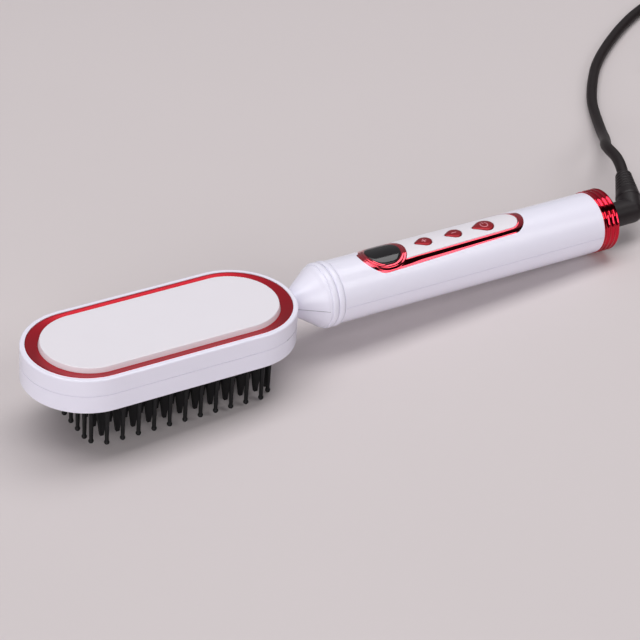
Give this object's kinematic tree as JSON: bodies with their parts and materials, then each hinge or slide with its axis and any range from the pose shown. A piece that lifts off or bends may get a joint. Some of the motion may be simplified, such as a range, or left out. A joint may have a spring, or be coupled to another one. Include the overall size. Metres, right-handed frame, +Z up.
{
  "type": "hair straightening brush",
  "caption": "Electric hair straightening brush: paddle head with heated combs and ball-tipped pins, round handle with display and buttons, swivel mains cord.",
  "frame": {"origin": "on the table, below the middle of the brush's length and width, without the cord", "axes": "+X along the brush from head to cord end, +Y away from the pictured side, +Z up from the table"},
  "size_m": [0.5491, 0.216, 0.045],
  "materials": {
    "white_shell": "satin white",
    "white_panel": "smooth white",
    "red_chrome": "red plated, mirror bright",
    "red_plastic": "metallic red",
    "smoked_lens": "smoked, glossy",
    "black_nylon": "matt black",
    "coated_aluminium": "black coated",
    "bare_aluminium": "plain",
    "steel": "zinc plated",
    "mica": "woven glass sheet",
    "board_green": "solder mask",
    "dark_part": "moulded",
    "bead_glass": "sealed bead",
    "wire_white": "silicone sleeve",
    "wire_brown": "insulated",
    "cord_black": "satin black",
    "plug_black": "moulded, fine grain",
    "strap_black": "woven strap",
    "pin_metal": "nickel plated"
  },
  "bodies": {
    "brush": {"upper_housing": "white_shell", "lower_housing": "white_shell", "head_panel": "white_panel", "head_trim_ring": "red_chrome", "pin_frame": "black_nylon", "nylon_pins": "black_nylon", "heat_plate": "coated_aluminium", "heated_combs": "coated_aluminium", "ptc_heaters": "bare_aluminium", "heater_clamp": "steel", "insulation_sheet": "mica", "thermal_fuse": "steel", "temperature_sensor": "bead_glass", "heat_plate_screws": "steel", "housing_screws": "steel", "control_trim": "red_chrome", "control_strip": "white_panel", "display_window": "smoked_lens", "display_module": "dark_part", "control_board": "board_green", "tact_switches": "dark_part", "board_screws": "steel", "heater_leads": "wire_white", "mains_leads": "wire_brown", "end_ring": "red_chrome", "end_plate": "white_shell"},
    "plus_key": {"plus_button": "red_plastic", "plus_plunger": "dark_part"},
    "minus_key": {"minus_button": "red_plastic", "minus_plunger": "dark_part"},
    "power_key": {"power_button": "red_plastic", "power_plunger": "dark_part"},
    "cord_set": {"swivel_elbow": "plug_black", "swivel_retainer": "dark_part", "strain_relief": "plug_black", "power_cord": "cord_black", "cord_coil": "cord_black", "cord_tie": "strap_black", "mains_plug": "plug_black", "plug_pins": "pin_metal"}
  },
  "joints": [
    {"name": "plus_press", "type": "slide", "parent": "brush", "child": "plus_key", "axis": [-0.0712, 0, -0.9975], "range_m": [0, 0.0005], "stiffness_N_per_m": 1500},
    {"name": "minus_press", "type": "slide", "parent": "brush", "child": "minus_key", "axis": [-0.0712, 0, -0.9975], "range_m": [0, 0.0005], "stiffness_N_per_m": 1500},
    {"name": "power_press", "type": "slide", "parent": "brush", "child": "power_key", "axis": [-0.0712, 0, -0.9975], "range_m": [0, 0.0005], "stiffness_N_per_m": 1500},
    {"name": "cord_swivel", "type": "hinge", "parent": "brush", "child": "cord_set", "pos_m": [0.13704, 0, 0.01486], "axis": [0.9975, 0, -0.0712], "continuous": true}
  ]
}
